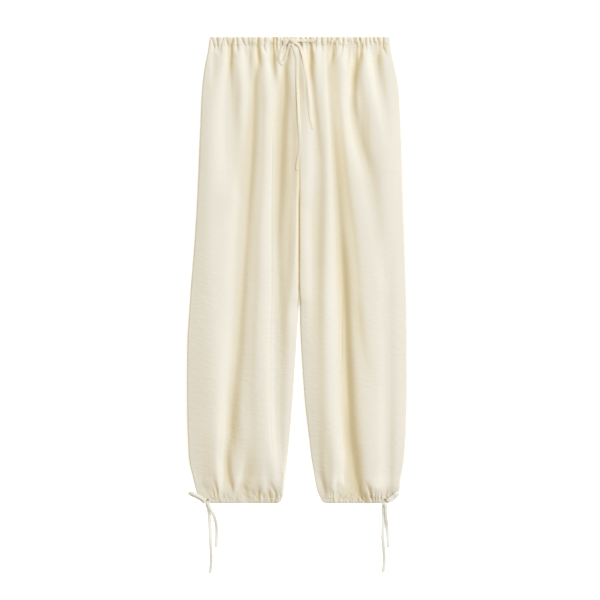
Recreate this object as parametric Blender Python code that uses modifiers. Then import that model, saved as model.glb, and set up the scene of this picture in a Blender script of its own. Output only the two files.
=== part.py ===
# Parachute trousers laid flat, front up
# The waist points to +Y, the wearer's right leg lies at -X, and the backs rest on z = 0.
# Tables and sizes are in millimetres. "drop" is the distance below the top of the waist.

from collections import namedtuple

import bmesh
import bpy
import numpy as np

MM = 0.001

# Driving sizes
LENGTH = 980.0
WAIST_CASING = 20.0
HEM_CASING = 15.0
CROTCH = 325.0
CLOTH_WALL = 1.2
CASING_WALL = 2.0
GAP = 0.3
SEAM = 0.5
TIE_GAP = 0.7
TIE = 5.0

# Heights of the upper face above the floor
CREST = 16.0
WAIST_SEAM_CREST = 9.0
HEM_SEAM_CREST = 10.0
CLOTH_LOW = 3.0
CASING_LOW = 5.0
CLOTH_EDGE = 2.1
CASING_EDGE = 4.1

# Widths over which the wall rounds down to the outline
SIDE_ROUND = 15.0
END_ROUND = 6.0

# Gathers
WAIST_GATHER = 10.6
HEM_GATHER = 15.0
GATHER_DEPTH = 0.42
WAIST_GATHER_FADE = 38.0
HEM_GATHER_FADE = 26.0

# Grid across one leg: a coarse middle, and twice as many columns at the gathers
COLUMNS = 30
EDGE_COLUMNS = (1.2, 5.0)

Edge = namedtuple("Edge", "drop outer inner")
RIGHT_OUTLINE = (
    Edge(0, -183.5, 4.2),
    Edge(28, -187, 4.2),
    Edge(60, -193.5, 4.2),
    Edge(91, -198, 4.2),
    Edge(196, -204, 4.3),
    Edge(343, -210.5, 4.4),
    Edge(448, -217, 4.5),
    Edge(550, -225, 4.4),
    Edge(640, -231, 1),
    Edge(760, -231.5, -8),
    Edge(847, -229.5, -15),
    Edge(895, -226, -20),
    Edge(931, -217.5, -25),
    Edge(955, -211.5, -29.5),
    Edge(970, -206, -35),
    Edge(977, -200.5, -38),
    Edge(980, -194, -43),
)
LEFT_OUTLINE = (
    Edge(0, 195, 4.2),
    Edge(28, 198, 4.2),
    Edge(60, 205, 4.2),
    Edge(91, 211.5, 4.2),
    Edge(196, 219, 4.3),
    Edge(343, 224, 4.4),
    Edge(448, 227.5, 4.5),
    Edge(550, 230.5, 5.4),
    Edge(640, 231.5, 7.5),
    Edge(760, 231.5, 16),
    Edge(847, 228.5, 26),
    Edge(895, 224.5, 32),
    Edge(931, 217.5, 38.5),
    Edge(955, 214.5, 43.5),
    Edge(970, 207.5, 50.5),
    Edge(977, 197.5, 54.5),
    Edge(980, 189, 61),
)

# One row for each fold: where its trough starts and ends, its place and its share of the crest
# height at the start, the middle and the end, and its half-width
Fold = namedtuple("Fold", "start end x0 x1 x2 depth0 depth1 depth2 width")
RIGHT_FOLDS = (
    Fold(20, 290, -137, -129, -129, 0.50, 0.40, 0.05, 9),
    Fold(20, 972, -78, -106.5, -140, 0.55, 0.60, 0.85, 12),
    Fold(20, 117, -49, -46, -42, 0.35, 0.25, 0.05, 7),
    Fold(20, 930, -18, -31.5, -32, 0.50, 0.40, 0.15, 11),
    Fold(75, 920, -192, -211, -193, 0.15, 0.25, 0.15, 9),
    Fold(840, 972, -84.5, -99, -108, 0.05, 0.30, 0.50, 9),
    Fold(925, 972, -55, -50, -44.5, 0.05, 0.30, 0.55, 7),
    Fold(915, 972, -170.5, -169.5, -168.5, 0.05, 0.25, 0.50, 8),
)
LEFT_FOLDS = (
    Fold(20, 760, 28.5, 53, 46, 0.60, 0.35, 0.05, 10),
    Fold(20, 972, 71, 104.5, 133, 0.60, 0.65, 0.90, 13),
    Fold(20, 450, 130, 137, 168, 0.65, 0.35, 0.05, 10),
    Fold(20, 217, 167, 179, 193, 0.40, 0.30, 0.05, 8),
    Fold(430, 963, 186, 199, 205, 0.05, 0.30, 0.30, 11),
    Fold(825, 972, 50, 53, 57.5, 0.05, 0.35, 0.65, 10),
    Fold(895, 972, 105.5, 109, 110, 0.05, 0.35, 0.55, 8),
    Fold(920, 972, 143.5, 150, 155, 0.05, 0.35, 0.55, 7),
)
OUTLINES = {"right": RIGHT_OUTLINE, "left": LEFT_OUTLINE}
FOLDS = {"right": RIGHT_FOLDS, "left": LEFT_FOLDS}

# Rows of the front panels, closest where the cloth is gathered
WAIST_SEAM = WAIST_CASING + SEAM / 2
HEM_SEAM = LENGTH - HEM_CASING - SEAM / 2
GATHERED_TOP = (WAIST_SEAM, 22, 36, 54)
SMOOTH_ROWS = (74, 104, 145, 195, 250, 300, 340, 380, 440, 510, 580, 650, 720, 790, 850, 900)
GATHERED_BOTTOM = (925, 945, 960, HEM_SEAM)
WAIST_ROWS = (0, 0.7, END_ROUND, WAIST_CASING - SEAM / 2)
HEM_ROWS = (LENGTH - HEM_CASING + SEAM / 2, LENGTH - END_ROUND, LENGTH - 0.7, LENGTH)

# Routes of the ties, and how far each point lies above what is under it
Point = namedtuple("Point", "x drop lift")
Knot = namedtuple("Knot", "x drop half_width half_height half_depth")
WAIST_KNOT = Knot(-10, 10.5, 5.4, 5.0, 5.2)
WAIST_ROUTES = {
    "waist_tie_strand_left": (Point(-30, 12.6, 0), Point(-23, 11.6, 0), Point(-16.4, 10.6, 0)),
    "waist_tie_strand_right": (Point(-3.6, 9.6, 0), Point(4, 9.5, 0), Point(18, 10, 0), Point(37, 11.3, 0)),
    "waist_tie_loop": (
        Point(-17, 8, 5.6), Point(-21.8, 13.8, 6.2), Point(-29, 22.5, 3), Point(-35.2, 36.8, 0),
        Point(-36.6, 49.4, 0), Point(-32.4, 58.6, 0), Point(-26.2, 56, 0), Point(-21.4, 43.1, 0),
        Point(-18.2, 28.4, 2), Point(-15.4, 16.6, 5.6),
    ),
    "waist_tie_tail_long": (
        Point(-10.2, 16.3, 0), Point(-5, 32.5, 0), Point(-1.4, 49.4, 0), Point(-1.2, 66.2, 0),
        Point(1.2, 104, 0), Point(4.1, 169, 0), Point(5.1, 232, 0), Point(1.8, 261.5, 0),
        Point(0.5, 282, 0),
    ),
    "waist_tie_tail_short": (
        Point(-4.4, 13.4, 5.6), Point(4, 20, 3), Point(10.8, 34.7, 0), Point(15.4, 55.7, 0),
        Point(19, 83, 0), Point(22.2, 125, 0), Point(27.6, 165, 0), Point(33, 196.5, 0),
    ),
}
HEM_KNOT_RIGHT = Knot(-186.5, 980.5, 4.8, 4.4, 4.4)
HEM_RIGHT_ROUTES = {
    "hem_tie_right_loop": (
        Point(-192, 975, 5.2), Point(-198, 969.4, 5.2), Point(-212.3, 961.4, 5.2),
        Point(-220.5, 958, 5.2), Point(-225.4, 959, 2.6), Point(-221.5, 961.6, 0),
        Point(-213, 965, 0), Point(-199, 972.8, 0), Point(-193.2, 978.6, 0),
    ),
    "hem_tie_right_tail_long": (
        Point(-187, 985.4, 5.4), Point(-183.8, 1003, 0), Point(-182.6, 1026, 0), Point(-181.5, 1051, 0),
        Point(-180.3, 1074, 0), Point(-180.1, 1108, 0), Point(-181.8, 1126.5, 0),
    ),
    "hem_tie_right_tail_short": (
        Point(-182.6, 984.8, 9), Point(-179.4, 994, 5.2), Point(-173.6, 1007, 0.4), Point(-169.4, 1024, 0),
        Point(-167.9, 1043, 0), Point(-169.4, 1072, 0),
    ),
}
HEM_KNOT_LEFT = Knot(183.5, 980.3, 4.8, 4.4, 4.4)
HEM_LEFT_ROUTES = {
    "hem_tie_left_loop": (
        Point(188.6, 974.6, 5.2), Point(194, 970.4, 5.2), Point(201.5, 965.6, 5.2),
        Point(209.5, 959.4, 5.2), Point(214.4, 957.8, 2.6), Point(213, 961.8, 0),
        Point(203.5, 969, 0), Point(196, 973.6, 0), Point(190.2, 978.4, 0),
    ),
    "hem_tie_left_tail_long": (
        Point(182.2, 985.2, 5.4), Point(182, 1004, 0), Point(181.6, 1020, 0), Point(180.9, 1056, 0),
        Point(182.4, 1078, 0), Point(183.4, 1108, 0), Point(181.1, 1124.5, 0),
    ),
    "hem_tie_left_tail_short": (
        Point(186.6, 985, 9), Point(187, 994, 5.2), Point(187.4, 1013, 2.6), Point(189.6, 1034, 0),
        Point(191.6, 1053, 0), Point(191.8, 1073, 0),
    ),
}
TAIL_STEP = 2.5
LOOP_STEP = 1.0


def clear_scene():
    for obj in list(bpy.data.objects):
        bpy.data.objects.remove(obj, do_unlink=True)


def smooth(knots, values, at):
    """Cubic reading of a short table."""
    knots = np.asarray(knots, float)
    values = np.asarray(values, float)
    slopes = np.gradient(values, knots)
    first = np.clip(np.searchsorted(knots, at) - 1, 0, len(knots) - 2)
    step = knots[first + 1] - knots[first]
    t = np.clip((at - knots[first]) / step, 0, 1)
    rise = t * t * (3 - 2 * t)
    lead = t * (1 - t) ** 2 * slopes[first] - t * t * (1 - t) * slopes[first + 1]
    return values[first] * (1 - rise) + values[first + 1] * rise + step * lead


def ease(t):
    t = np.clip(t, 0, 1)
    return t * t * (3 - 2 * t)


def quarter_round(distance, radius):
    """Rises from 0 at the edge to 1 at the radius, like a quarter of an ellipse."""
    return np.sqrt(1 - (1 - np.clip(distance / radius, 0, 1)) ** 2)


def outline(leg, field, drop):
    table = OUTLINES[leg]
    return smooth([row.drop for row in table], [getattr(row, field) for row in table], drop)


def uneven_wave(x, spacing):
    """A wave from 0 at a crest to 1 in a trough, whose crests lie unevenly, about one spacing apart."""
    turn = 2 * np.pi * x / spacing
    phase = turn + 0.9 * np.sin(turn * 0.171 + 1) + 0.6 * np.sin(turn * 0.393)
    size = 0.75 + 0.25 * np.sin(turn * 0.257 + 2)
    return size * (0.5 - 0.5 * np.cos(phase))


def folds_left(leg, x, drop):
    """The share of the crest height that the folds leave."""
    left = np.ones_like(x)
    for fold in FOLDS[leg]:
        t = np.clip((drop - fold.start) / (fold.end - fold.start), 0, 1)
        trough = (1 - t) * (1 - 2 * t) * fold.x0 + 4 * t * (1 - t) * fold.x1 + t * (2 * t - 1) * fold.x2
        depth = np.interp(t, (0, 0.5, 1), (fold.depth0, fold.depth1, fold.depth2))
        beyond = np.abs(drop - np.clip(drop, fold.start, fold.end))
        left = left * (1 - depth * ease(1 - beyond / 30) / np.cosh((x - trough) / fold.width))
    return left


def cloth_top(leg, x, drop):
    """Height of the upper face of the front, casings included, inside the outline."""
    x, drop = np.broadcast_arrays(np.asarray(x, float), np.asarray(drop, float))
    outer = np.abs(x - outline(leg, "outer", drop))
    inner = np.abs(x - outline(leg, "inner", drop))
    from_waist = drop - WAIST_CASING
    from_hem = LENGTH - HEM_CASING - drop
    at_casing = np.maximum(ease(1 - from_waist / 30), ease(1 - from_hem / 30))
    low = CLOTH_LOW + (CASING_LOW - CLOTH_LOW) * at_casing
    edge = CLOTH_EDGE + (CASING_EDGE - CLOTH_EDGE) * at_casing
    crest = WAIST_SEAM_CREST + (CREST - WAIST_SEAM_CREST) * ease((from_waist - 2) / 90)
    crest = crest - (CREST - HEM_SEAM_CREST) * ease(1 - (from_hem - 2) / 50)
    waist_gathers = np.exp(-np.clip(from_waist, 0, None) / WAIST_GATHER_FADE) * uneven_wave(x, WAIST_GATHER)
    hem_gathers = np.exp(-np.clip(from_hem, 0, None) / HEM_GATHER_FADE) * uneven_wave(x, HEM_GATHER)
    gathers = (waist_gathers + hem_gathers) * ease(inner / 8)
    parted = ease((drop - CROTCH + 10) / 50)
    seam_dip = (2 + 3 * ease((drop - 150) / 150)) * ease(from_waist / 60) * (1 - parted)
    top = low + (crest - low) * folds_left(leg, x, drop) * (1 - GATHER_DEPTH * gathers)
    top = top - seam_dip * np.exp(-((inner / 9) ** 2))
    rounding = quarter_round(outer, SIDE_ROUND) * (1 - parted + parted * quarter_round(inner, SIDE_ROUND))
    rounding = rounding * quarter_round(drop, END_ROUND) * quarter_round(LENGTH - drop, END_ROUND)
    return edge + (top - edge) * rounding


def columns_across(leg, drop, fine):
    """x of each column, from the left of the leg to its right."""
    ends = sorted((float(outline(leg, "outer", drop)), float(outline(leg, "inner", drop))))
    half = SEAM / 2
    start = ends[0] + (half if leg == "left" else 0)
    stop = ends[1] - (half if leg == "right" else 0)
    near, next_in = EDGE_COLUMNS
    middle = np.linspace(start + next_in, stop - next_in, COLUMNS - 2 * len(EDGE_COLUMNS) + 1)
    coarse = np.concatenate(([start, start + near], middle, [stop - near, stop]))
    if not fine:
        return coarse
    return np.interp(np.arange(2 * COLUMNS + 1) / 2, np.arange(COLUMNS + 1), coarse)


def new_material(name, colour, roughness):
    material = bpy.data.materials.new(name)
    material.use_nodes = True
    shader = material.node_tree.nodes["Principled BSDF"]
    shader.inputs["Base Color"].default_value = (*colour, 1)
    shader.inputs["Roughness"].default_value = roughness
    shader.inputs["Metallic"].default_value = 0
    material.diffuse_color = (*colour, 1)
    return material


def place(name, data, material, collection):
    obj = bpy.data.objects.new(name, data)
    data.materials.append(material)
    collection.objects.link(obj)
    return obj


def grid_mesh(name, rows):
    """A sheet from rows of points. A row with twice the columns of its neighbour is joined to it."""
    bm = bmesh.new()
    verts = [[bm.verts.new(point) for point in row] for row in rows]
    for upper, lower in zip(verts, verts[1:]):
        if len(upper) == len(lower):
            for j in range(len(upper) - 1):
                bm.faces.new((upper[j], lower[j], lower[j + 1], upper[j + 1]))
        elif len(upper) > len(lower):
            for j in range(len(lower) - 1):
                a, b, c = upper[2 * j : 2 * j + 3]
                bm.faces.new((a, lower[j], b))
                bm.faces.new((b, lower[j], lower[j + 1]))
                bm.faces.new((b, lower[j + 1], c))
        else:
            for j in range(len(upper) - 1):
                a, b, c = lower[2 * j : 2 * j + 3]
                bm.faces.new((upper[j], a, b))
                bm.faces.new((upper[j], b, upper[j + 1]))
                bm.faces.new((upper[j + 1], b, c))
    mesh = bpy.data.meshes.new(name)
    bm.to_mesh(mesh)
    bm.free()
    mesh.shade_smooth()
    return mesh


def add_wall(obj, thickness):
    """Thickens the sheet downward from its upper face."""
    wall = obj.modifiers.new("Wall", "SOLIDIFY")
    wall.thickness = thickness * MM
    wall.offset = -1
    wall.use_rim = True


def row_points(x, drop, top):
    return [(a * MM, (LENGTH / 2 - drop) * MM, b * MM) for a, b in zip(x, top)]


def front_rows(leg, drops, fine):
    rows = []
    for drop in drops:
        x = columns_across(leg, drop, fine)
        rows.append(row_points(x, drop, cloth_top(leg, x, drop)))
    return rows


def add_front_panel(leg, material, collection):
    rows = front_rows(leg, GATHERED_TOP, True) + front_rows(leg, SMOOTH_ROWS, False)
    rows += front_rows(leg, GATHERED_BOTTOM, True)
    name = f"front_{leg}_leg"
    add_wall(place(name, grid_mesh(name, rows), material, collection), CLOTH_WALL)


def add_back_panel(leg, material, collection):
    rows = []
    for drop in (*GATHERED_TOP, *SMOOTH_ROWS, *GATHERED_BOTTOM):
        x = columns_across(leg, drop, False)[[0, -1]]
        rows.append(row_points(x, drop, (CLOTH_WALL, CLOTH_WALL)))
    name = f"back_{leg}_leg"
    add_wall(place(name, grid_mesh(name, rows), material, collection), CLOTH_WALL)


def add_waist_casing(material, collection):
    front = []
    back = []
    for drop in WAIST_ROWS:
        right = columns_across("right", drop, True)[:-1]
        left = columns_across("left", drop, True)[1:]
        seam = float(outline("right", "inner", drop))
        x = np.concatenate((right, [seam], left))
        stretches = (("right", right), ("left", [seam]), ("left", left))
        top = np.concatenate([cloth_top(leg, part_x, drop) for leg, part_x in stretches])
        front.append(row_points(x, drop, top))
        back.append(row_points(x[[0, -1]], drop, (CASING_WALL, CASING_WALL)))
    for side, rows in (("front", front), ("back", back)):
        name = f"waist_casing_{side}"
        add_wall(place(name, grid_mesh(name, rows), material, collection), CASING_WALL)


def add_hem_casing(leg, material, collection):
    back = []
    for drop in HEM_ROWS:
        x = columns_across(leg, drop, False)[[0, -1]]
        back.append(row_points(x, drop, (CASING_WALL, CASING_WALL)))
    for side, rows in (("front", front_rows(leg, HEM_ROWS, True)), ("back", back)):
        name = f"hem_casing_{leg}_{side}"
        add_wall(place(name, grid_mesh(name, rows), material, collection), CASING_WALL)


def surface_under(x, drop):
    """Height of the cloth at this place, or of the floor beside it."""
    if not 0 <= drop <= LENGTH:
        return 0.0
    for leg in OUTLINES:
        ends = sorted((float(outline(leg, "outer", drop)), float(outline(leg, "inner", drop))))
        if ends[0] <= x <= ends[1]:
            return float(cloth_top(leg, x, drop))
    return 0.0


def resting_height(x, drop, radius, gap):
    """Height of the centre of a ball of this radius that lies this far above the cloth."""
    highest = radius
    for turn in np.linspace(0, 2 * np.pi, 16, endpoint=False):
        for reach in (0, 0.35, 0.7, 0.95):
            under = surface_under(x + reach * radius * np.cos(turn), drop + reach * radius * np.sin(turn))
            highest = max(highest, under + radius * np.sqrt(1 - reach * reach))
    return highest + gap


def tie_path(route, step):
    """Points along a smooth curve through the route, lying on what is under it."""
    place_at = np.array([(point.x, point.drop) for point in route], float)
    knots = np.concatenate(([0], np.cumsum(np.hypot(*np.diff(place_at, axis=0).T))))
    along = np.linspace(0, knots[-1], max(3, round(knots[-1] / (step * TIE)) + 1))
    x = smooth(knots, place_at[:, 0], along)
    drop = smooth(knots, place_at[:, 1], along)
    lift = np.interp(along, knots, [point.lift for point in route])
    rest = np.array([resting_height(a, b, TIE / 2, TIE_GAP) for a, b in zip(x, drop)])
    for _ in range(4):
        rest[1:-1] = np.maximum(rest[1:-1], (rest[:-2] + rest[2:]) / 2)
    return np.column_stack((x, LENGTH / 2 - drop, rest + lift)) * MM


def add_tie(name, route, step, material, collection):
    curve = bpy.data.curves.new(name, "CURVE")
    curve.dimensions = "3D"
    curve.bevel_depth = TIE / 2 * MM
    curve.bevel_resolution = 2
    curve.use_fill_caps = True
    path = tie_path(route, step)
    spline = curve.splines.new("POLY")
    spline.points.add(len(path) - 1)
    for point, place_at in zip(spline.points, path):
        point.co = (*place_at, 1)
    spline.use_smooth = True
    place(name, curve, material, collection)


def add_knot(name, knot, material, collection):
    bm = bmesh.new()
    bmesh.ops.create_uvsphere(bm, u_segments=14, v_segments=8, radius=1)
    sizes = np.array((knot.half_width, knot.half_height, knot.half_depth)) * MM
    bmesh.ops.scale(bm, vec=sizes, verts=bm.verts)
    mesh = bpy.data.meshes.new(name)
    bm.to_mesh(mesh)
    bm.free()
    mesh.shade_smooth()
    obj = place(name, mesh, material, collection)
    height = resting_height(knot.x, knot.drop, knot.half_depth, GAP)
    obj.location = (knot.x * MM, (LENGTH / 2 - knot.drop) * MM, height * MM)


def add_ties(name, knot, routes, material, collection):
    add_knot(f"{name}_knot", knot, material, collection)
    for piece, route in routes.items():
        step = LOOP_STEP if "loop" in piece or "strand" in piece else TAIL_STEP
        add_tie(piece, route, step, material, collection)


def main():
    clear_scene()
    collection = bpy.data.collections.new("parachute_trousers")
    bpy.context.scene.collection.children.link(collection)
    for leg in OUTLINES:
        cloth = new_material(f"ivory_crepe_{leg}", (0.83, 0.78, 0.66), 0.9)
        add_front_panel(leg, cloth, collection)
        add_back_panel(leg, new_material(f"ivory_crepe_back_{leg}", (0.80, 0.75, 0.63), 0.9), collection)
        add_hem_casing(leg, new_material(f"ivory_hem_{leg}", (0.81, 0.76, 0.64), 0.9), collection)
    add_waist_casing(new_material("ivory_waist_casing", (0.81, 0.76, 0.64), 0.9), collection)
    tie_cloth = new_material("ivory_tie", (0.86, 0.80, 0.66), 0.85)
    add_ties("waist_tie", WAIST_KNOT, WAIST_ROUTES, tie_cloth, collection)
    add_ties("hem_tie_right", HEM_KNOT_RIGHT, HEM_RIGHT_ROUTES, tie_cloth, collection)
    add_ties("hem_tie_left", HEM_KNOT_LEFT, HEM_LEFT_ROUTES, tie_cloth, collection)


main()
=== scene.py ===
import math

import bpy
import numpy as np
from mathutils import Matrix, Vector


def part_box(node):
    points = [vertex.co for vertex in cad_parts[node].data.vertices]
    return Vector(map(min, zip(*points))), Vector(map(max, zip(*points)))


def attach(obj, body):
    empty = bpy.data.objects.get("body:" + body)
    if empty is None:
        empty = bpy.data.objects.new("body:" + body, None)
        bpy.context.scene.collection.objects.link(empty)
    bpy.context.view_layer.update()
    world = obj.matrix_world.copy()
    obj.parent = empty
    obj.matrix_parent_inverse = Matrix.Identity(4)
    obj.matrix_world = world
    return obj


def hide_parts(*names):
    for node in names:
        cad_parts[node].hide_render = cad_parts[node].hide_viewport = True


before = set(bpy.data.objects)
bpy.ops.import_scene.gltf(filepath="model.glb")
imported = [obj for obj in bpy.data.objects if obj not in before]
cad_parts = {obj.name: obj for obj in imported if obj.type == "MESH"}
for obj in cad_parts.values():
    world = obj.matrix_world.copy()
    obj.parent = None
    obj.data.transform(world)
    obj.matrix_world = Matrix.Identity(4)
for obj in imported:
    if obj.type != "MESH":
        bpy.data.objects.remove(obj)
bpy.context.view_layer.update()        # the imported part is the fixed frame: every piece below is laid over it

mm = 0.001
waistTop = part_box("waist_casing_back")[1][1]
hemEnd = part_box("hem_casing_right_back")[0][1]
length = (waistTop - hemEnd) / mm      # waist to hem; every "drop" below is mm down from the waist top
print("frame loaded, length in mm:", round(length, 1))


# camera and light, looking straight down on the laid-out trousers

photo = {
    "pixels": 600, "mmPerPixel": 2.1, "middleX": 6.4, "middleY": -63.5, "distance": 4000.0,
    "sensor": 36, "farthest": 50,
}

cameraData = bpy.data.cameras.new("camera")
cameraData.sensor_width = photo["sensor"]
cameraData.lens = photo["sensor"] * photo["distance"] / (photo["pixels"] * photo["mmPerPixel"])
camera = bpy.data.objects.new("camera", cameraData)
camera.location = (photo["middleX"] * mm, photo["middleY"] * mm, photo["distance"] * mm)
cameraData.clip_end = photo["farthest"]
bpy.context.collection.objects.link(camera)
bpy.context.scene.camera = camera

studio = {
    "keyAzimuth": 35, "keyElevation": 45, "keyDistance": 14.0, "keySize": (3.85, 7.7), "keyPower": 1650,
    "keyColour": "#E9F2FF", "fillColour": "#FFF6E6", "fillStrength": 0.58,
}


def linearColour(hexText):
    # sRGB hex to the linear values that the shader takes, with alpha 1
    parts = [int(hexText[i:i + 2], 16) / 255 for i in (1, 3, 5)]
    return [p / 12.92 if p <= 0.04045 else ((p + 0.055) / 1.055) ** 2.4 for p in parts] + [1.0]


def setInputs(tree, node, inputs):
    for key, value in inputs.items():
        if isinstance(value, bpy.types.NodeSocket):
            tree.links.new(value, node.inputs[key])
        else:
            node.inputs[key].default_value = value


def addNode(tree, kind, inputs=None, settings=None):
    node = tree.nodes.new(kind)
    for key, value in (settings or {}).items():
        setattr(node, key, value)
    setInputs(tree, node, inputs or {})
    return node


def makeLights():
    azimuth, elevation = math.radians(studio["keyAzimuth"]), math.radians(studio["keyElevation"])
    data = bpy.data.lights.new("softboxFromTheRight", "AREA")
    data.shape = "RECTANGLE"
    data.size, data.size_y = studio["keySize"]
    data.energy = studio["keyPower"]
    data.color = linearColour(studio["keyColour"])[:3]
    light = bpy.data.objects.new("softboxFromTheRight", data)
    away = Vector((math.cos(azimuth) * math.cos(elevation), math.sin(azimuth) * math.cos(elevation),
                   math.sin(elevation)))
    light.location = away * studio["keyDistance"]
    light.rotation_mode = "QUATERNION"
    light.rotation_quaternion = away.to_track_quat("Z", "Y")
    bpy.context.collection.objects.link(light)
    world = bpy.data.worlds.new("studioFill")
    bpy.context.scene.world = world
    world.use_nodes = True
    setInputs(world.node_tree, world.node_tree.nodes["Background"], {
        "Color": linearColour(studio["fillColour"]), "Strength": studio["fillStrength"]})
    view = bpy.context.scene.view_settings
    view.view_transform = "Standard"
    view.exposure = 0


makeLights()


floorPaper = {
    "half": 6.0, "gap": 0.0003, "colour": "#FCFCFC", "roughness": 0.95, "specular": 0.1, "glow": 0.42,
}


def makeFloor():
    # white studio paper, matte, which glows a little as an evenly lit ground does
    half = floorPaper["half"]
    corners = [(-half, -half, 0), (half, -half, 0), (half, half, 0), (-half, half, 0)]
    mesh = bpy.data.meshes.new("studioFloor")
    mesh.from_pydata(corners, [], [(0, 1, 2, 3)])
    floor = bpy.data.objects.new("studioFloor", mesh)
    floor.location.z = -floorPaper["gap"]
    bpy.context.collection.objects.link(floor)
    material = bpy.data.materials.new("whiteStudioPaper")
    material.use_nodes = True
    setInputs(material.node_tree, material.node_tree.nodes["Principled BSDF"], {
        "Base Color": linearColour(floorPaper["colour"]), "Roughness": floorPaper["roughness"],
        "Specular IOR Level": floorPaper["specular"], "Emission Color": linearColour("#FFFFFF"),
        "Emission Strength": floorPaper["glow"]})
    mesh.materials.append(material)


makeFloor()
print("camera, light and floor made")


# helpers that read short tables, and soft random fields

def smoothRead(knots, values, at):
    # cubic reading of a short table, without corners
    knots, values = np.asarray(knots, float), np.asarray(values, float)
    slopes = np.gradient(values, knots)
    first = np.clip(np.searchsorted(knots, at) - 1, 0, len(knots) - 2)
    step = knots[first + 1] - knots[first]
    t = np.clip((at - knots[first]) / step, 0, 1)
    rise = t * t * (3 - 2 * t)
    lead = t * (1 - t) ** 2 * slopes[first] - t * t * (1 - t) * slopes[first + 1]
    return values[first] * (1 - rise) + values[first + 1] * rise + step * lead


def ease(t):
    t = np.clip(t, 0, 1)
    return t * t * (3 - 2 * t)


def quarterRound(distance, radius):
    return np.sqrt(1 - (1 - np.clip(distance / radius, 0, 1)) ** 2)


def softNoise(u, v, seed):
    # smooth random field from -1 to 1, one cell per unit of u and v
    size = 256
    table = np.random.default_rng(seed).uniform(-1, 1, (size, size))
    i, j = np.floor(u).astype(int), np.floor(v).astype(int)
    a, b = ease(u - i), ease(v - j)
    i, j, nextI, nextJ = i % size, j % size, (i + 1) % size, (j + 1) % size
    near = table[i, j] * (1 - a) + table[nextI, j] * a
    far = table[i, nextJ] * (1 - a) + table[nextI, nextJ] * a
    return near * (1 - b) + far * b


def cellNoise(x, drop, cell, seed):
    # the same field over the cloth, with the width and length of its cells in mm
    return softNoise(x / cell[0], drop / cell[1], seed)


def columnsOf(rows):
    return [np.array(column, float) for column in zip(*rows)]


# outline of each leg: rows of drop, outer edge and inner edge in mm. The outer edges lie under 1 mm from
# the part's, and the inner corner of the right hem is a little fuller, as in the photo.

outlines = {
    "right": ((0, -182.8, 4.2), (28, -186.3, 4.2), (60, -192.8, 4.2), (91, -197.3, 4.2), (196, -203.3, 4.3),
        (343, -209.8, 4.4), (448, -216.3, 4.5), (530, -222.9, 4.4), (552, -224.5, 4.0), (572, -225.9, 2.3),
        (592, -227.3, 1.9), (628, -229.7, 0.2), (660, -230.5, -1.6), (700, -230.9, -4), (760, -230.8, -8),
        (847, -228.8, -15), (895, -225.3, -20), (931, -216.8, -24), (955, -210.8, -27.4),
        (970, -205.3, -31), (977, -199.8, -35), (980, -193.3, -41)),
    "left": ((0, 195.8, 4.2), (28, 198.8, 4.2), (60, 205.8, 4.2), (91, 212.3, 4.2), (196, 219.8, 4.3),
        (343, 224.8, 4.4), (448, 228.3, 4.5), (535, 230.9, 4.8), (556, 231.5, 6.2), (600, 232, 6.6),
        (640, 232.3, 8), (700, 232.4, 11.6), (760, 232.3, 16), (847, 229.3, 26), (895, 225.3, 32),
        (931, 218.3, 38.5), (955, 215.3, 43.5), (970, 208.3, 50.5), (977, 198.3, 54.5), (980, 189.8, 61)),
}


def edgeAt(leg, side, drop):
    # x of the low (-X) or high (+X) edge of the leg
    rows = outlines[leg]
    column = 1 if (side == "low") == (leg == "right") else 2
    return smoothRead([r[0] for r in rows], [r[column] for r in rows], drop)


# form of the fronts, in mm

frontForm = {
    "waistSeamHeight": 8.5, "hemSeamHeight": 8.2, "hemEndDrop": 3.6, "edgeHeight": 1.0, "lowest": 3.0,
    "lowestBend": 1.2, "hemFall": 36, "waistCasing": 20, "hemCasing": 15, "casingRound": 5, "thickness": 0.8,
    "foldBend": 1.3, "stitchInset": 2.2, "stitchWidth": 1.1, "stitchGroove": 0.08, "seamDepth": 0.45,
    "seamWidth": 1.4, "jointBlend": 11, "jointShare": 0.8,
}
# drops where the legs start to touch instead of being joined, where they stand apart, and where the
# centre seam sinks deeper, each with the length of the change
crotchForm = {"touch": (315, 50), "touchingLift": 0.35, "part": (545, 30), "seam": (250, 75), "seamSink": 1.2}
# share of the long folds that each casing flattens, where that starts, and how long it takes
casingHold = {"waist": (0.75, 5, 16), "hem": (0.45, 4, 12)}
# how each edge turns down to the floor: radius, and the share of the height that the turn takes
edgeRolls = {
    ("right", "low"): (3.2, 0.52), ("right", "high"): (2.2, 0.44),
    ("left", "low"): (2.2, 0.4), ("left", "high"): (4, 0.56),
}
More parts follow.
